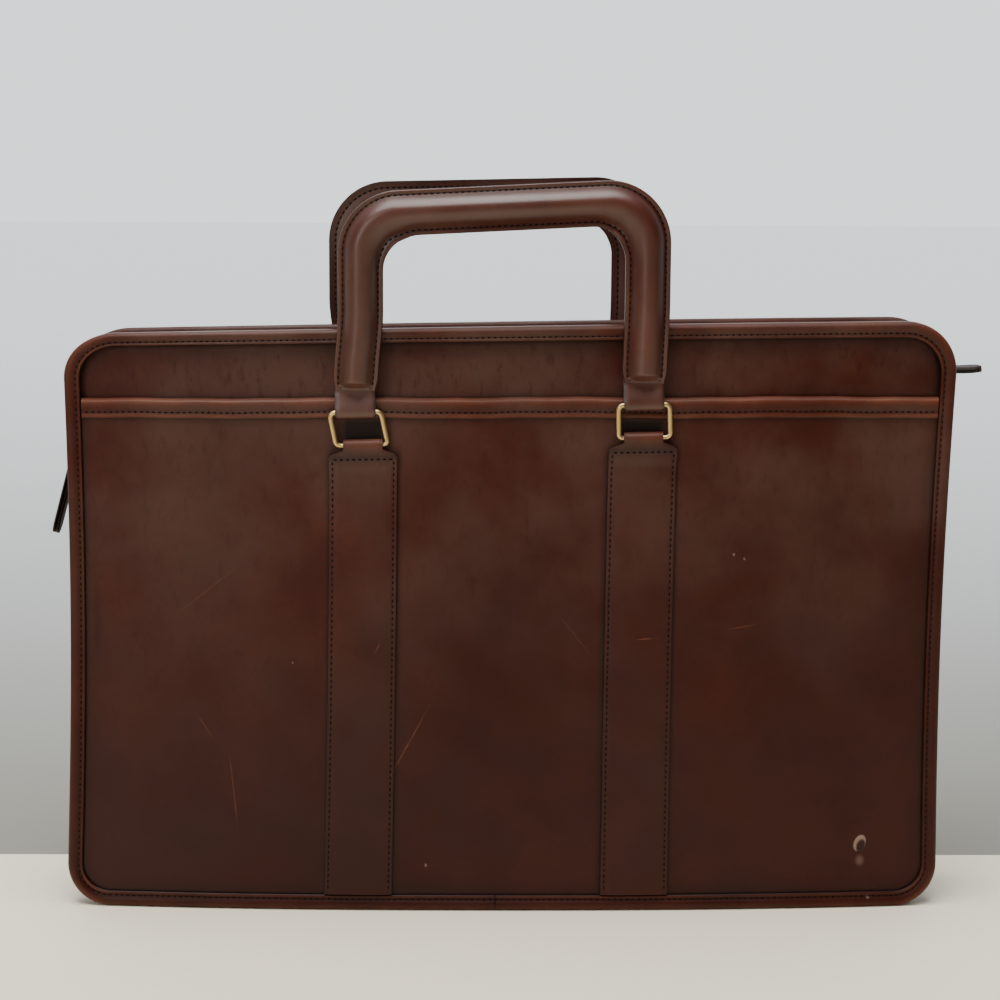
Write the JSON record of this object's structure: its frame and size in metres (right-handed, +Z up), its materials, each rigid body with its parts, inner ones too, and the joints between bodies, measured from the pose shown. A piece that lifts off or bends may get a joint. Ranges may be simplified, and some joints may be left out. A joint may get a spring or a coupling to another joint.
{
  "type": "leather document case",
  "caption": "Zip-top leather document case with bound faces, a full-width front pocket, sewn straps and stiff handles on metal rings.",
  "frame": {"origin": "on the ground under the middle of the overall box", "axes": "+X to the right seen from the pocket side, +Y to the back, +Z up; the front face looks to -Y"},
  "size_m": [0.446, 0.076, 0.3485],
  "materials": {
    "leather": "worn, waxed, dark reddish brown",
    "dark_leather": "matt, nearly black",
    "brass": "polished, slightly tarnished",
    "cloth": "woven tape and waxed thread"
  },
  "bodies": {
    "case": {"front_panel": "leather", "back_panel": "leather", "front_pocket": "leather", "pocket_edge": "leather", "front_binding": "leather", "back_binding": "leather", "gusset": "leather", "zip_strip_front": "leather", "zip_strip_back": "leather", "front_strap_left": "leather", "front_strap_right": "leather", "back_strap_left": "leather", "back_strap_right": "leather", "zip_tape": "cloth", "zip_teeth": "brass", "zip_slider": "brass", "zip_pull": "dark_leather", "zip_end_tab": "dark_leather"},
    "front_rings": {"front_ring_left": "brass", "front_ring_right": "brass"},
    "front_handle": {"front_handle_face": "leather", "front_handle_backing": "leather"},
    "back_rings": {"back_ring_left": "brass", "back_ring_right": "brass"},
    "back_handle": {"back_handle_face": "leather", "back_handle_backing": "leather"}
  },
  "joints": [
    {"name": "front_ring_swing", "type": "hinge", "parent": "case", "child": "front_rings", "pos_m": [-0.00647, -0.03052, 0.22519], "axis": [0.9995, 0, 0.0301], "range_deg": [0, 85]},
    {"name": "front_handle_swing", "type": "hinge", "parent": "front_rings", "child": "front_handle", "pos_m": [-0.00694, -0.03087, 0.24078], "axis": [0.9995, 0, 0.0301], "range_deg": [0, 90]},
    {"name": "back_ring_swing", "type": "hinge", "parent": "case", "child": "back_rings", "pos_m": [-0.00941, 0.03045, 0.22394], "axis": [-0.9999, 0, -0.0111], "range_deg": [0, 85]},
    {"name": "back_handle_swing", "type": "hinge", "parent": "back_rings", "child": "back_handle", "pos_m": [-0.00958, 0.03087, 0.23953], "axis": [-0.9999, 0, -0.0111], "range_deg": [0, 90]}
  ]
}
